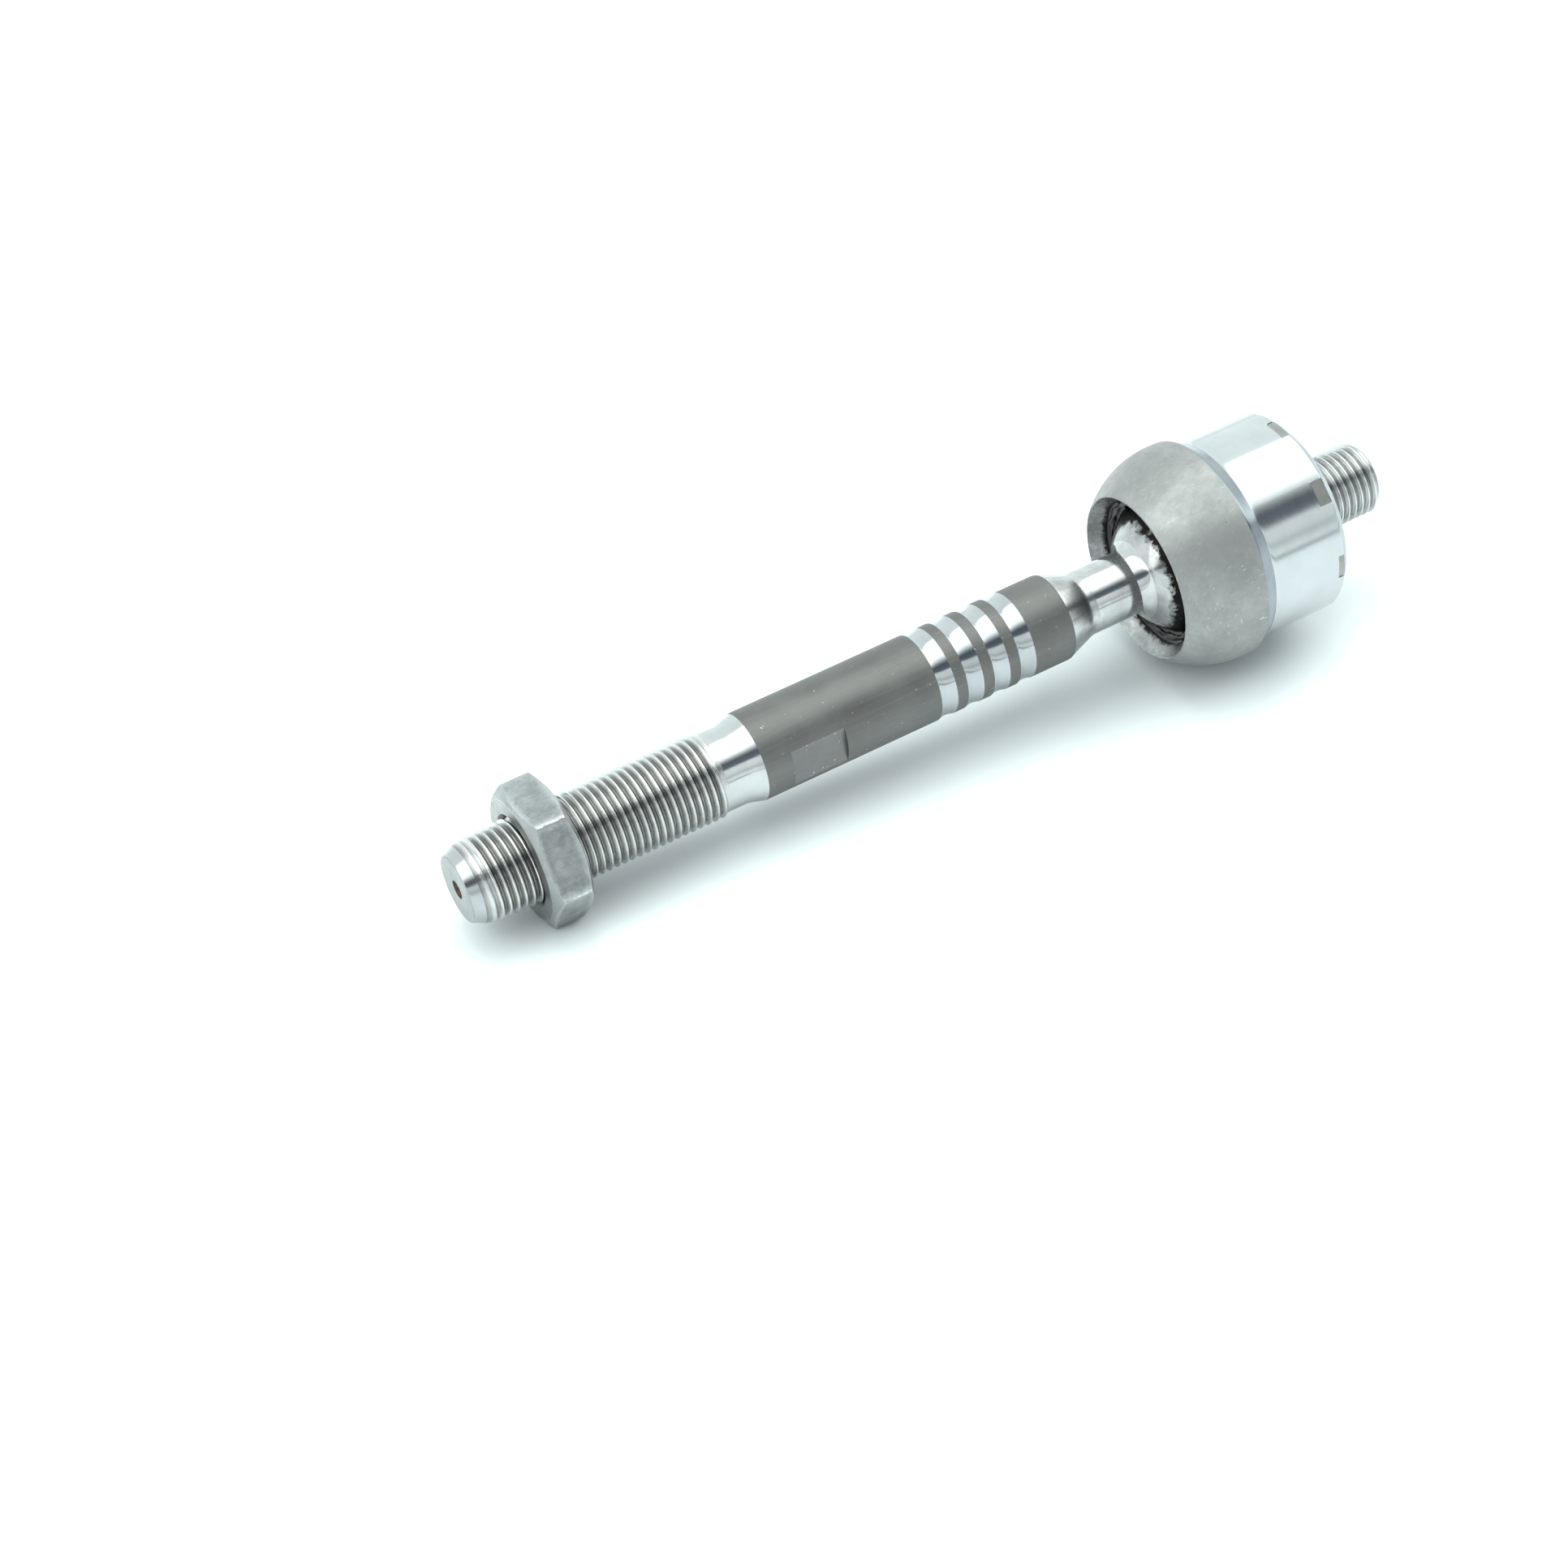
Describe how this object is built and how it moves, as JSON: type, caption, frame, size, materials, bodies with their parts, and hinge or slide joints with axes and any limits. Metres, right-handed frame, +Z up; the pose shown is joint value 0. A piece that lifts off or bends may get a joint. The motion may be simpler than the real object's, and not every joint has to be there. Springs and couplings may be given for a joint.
{
  "type": "axial ball joint",
  "caption": "Axial ball joint: a threaded rod on a ball that swivels in a swaged socket housing with a threaded stud, and a thin lock nut on the rod.",
  "frame": {"origin": "centre of the housing's shoulder plane, at the root of the threaded stud", "axes": "+X along the rod towards its free threaded end, the stud points to -X, +Z up"},
  "size_m": [0.1893, 0.0422, 0.0422],
  "materials": {
    "housing_steel": "satin swaged steel, turned bright behind the collar",
    "seat_plastic": "smooth moulded acetal",
    "spring_steel": "tempered spring steel",
    "grease": "black molybdenum grease",
    "rod_steel": "dark phosphated body with bright turned and rolled surfaces",
    "nut_steel": "matt pickled steel"
  },
  "bodies": {
    "housing": {"socket_housing": "housing_steel", "ball_seat": "seat_plastic", "preload_disc_spring": "spring_steel"},
    "pitch_frame": {"grease_charge_inner": "grease"},
    "yaw_frame": {"grease_charge_outer": "grease"},
    "rod": {"ball_stud_rod": "rod_steel"},
    "nut": {"lock_nut": "nut_steel"}
  },
  "joints": [
    {"name": "ball_pitch", "type": "hinge", "parent": "housing", "child": "pitch_frame", "pos_m": [0.022, 0, 0], "axis": [0, 1, 0], "range_deg": [-20, 20]},
    {"name": "ball_yaw", "type": "hinge", "parent": "pitch_frame", "child": "yaw_frame", "pos_m": [0.022, 0, 0], "axis": [0, 0, 1], "range_deg": [-20, 20]},
    {"name": "rod_spin", "type": "hinge", "parent": "yaw_frame", "child": "rod", "pos_m": [0.022, 0, 0], "axis": [1, 0, 0], "continuous": true},
    {"name": "nut_travel", "type": "slide", "parent": "rod", "child": "nut", "axis": [1, 0, 0], "range_m": [-0.027, 0.0075]}
  ]
}
